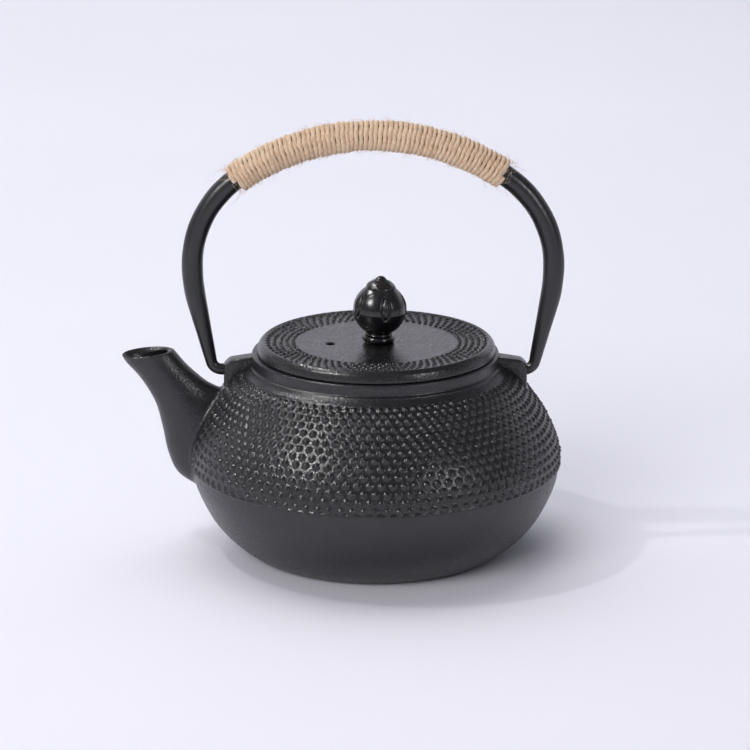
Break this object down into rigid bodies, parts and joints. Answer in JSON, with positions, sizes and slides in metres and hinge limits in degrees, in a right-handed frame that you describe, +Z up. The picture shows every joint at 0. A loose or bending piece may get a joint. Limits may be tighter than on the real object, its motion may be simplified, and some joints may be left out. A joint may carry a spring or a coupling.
{
  "type": "teapot",
  "caption": "Round cast iron teapot with a dotted hobnail band, curved spout, lift-off lid with a ball knob, steel infuser, and a folding bail wrapped in twine.",
  "frame": {"origin": "centre of the flat base, on the surface the pot stands on", "axes": "+Z up, spout towards -X, the bail's hinge line along X through the two lugs, +Y towards the back"},
  "size_m": [0.1786, 0.15, 0.1772],
  "materials": {
    "pot_iron": "black satin, fine grained casting",
    "lid_iron": "black satin, fine grained casting",
    "bail_black": "black satin enamel over forged steel",
    "twine": "natural plant-fibre twine, tightly wound",
    "steel": "plain stainless steel"
  },
  "bodies": {
    "pot": {"pot_body": "pot_iron"},
    "infuser": {"infuser_rim": "steel", "infuser_wall": "steel", "infuser_band": "steel", "infuser_base": "steel"},
    "lid": {"lid": "lid_iron", "knob_collar": "lid_iron", "lid_knob": "lid_iron", "knob_stud": "steel", "knob_washer": "steel"},
    "bail": {"bail_rod": "bail_black", "handle_wrap": "twine"}
  },
  "joints": [
    {"name": "bail_swing", "type": "hinge", "parent": "pot", "child": "bail", "pos_m": [0, 0, 0.0747], "axis": [1, 0, 0], "range_deg": [-122, 122]},
    {"name": "infuser_lift", "type": "slide", "parent": "pot", "child": "infuser", "axis": [0, 0, 1], "range_m": [0, 0.048]},
    {"name": "lid_lift", "type": "slide", "parent": "infuser", "child": "lid", "axis": [0, 0, 1], "range_m": [0, 0.048]}
  ]
}
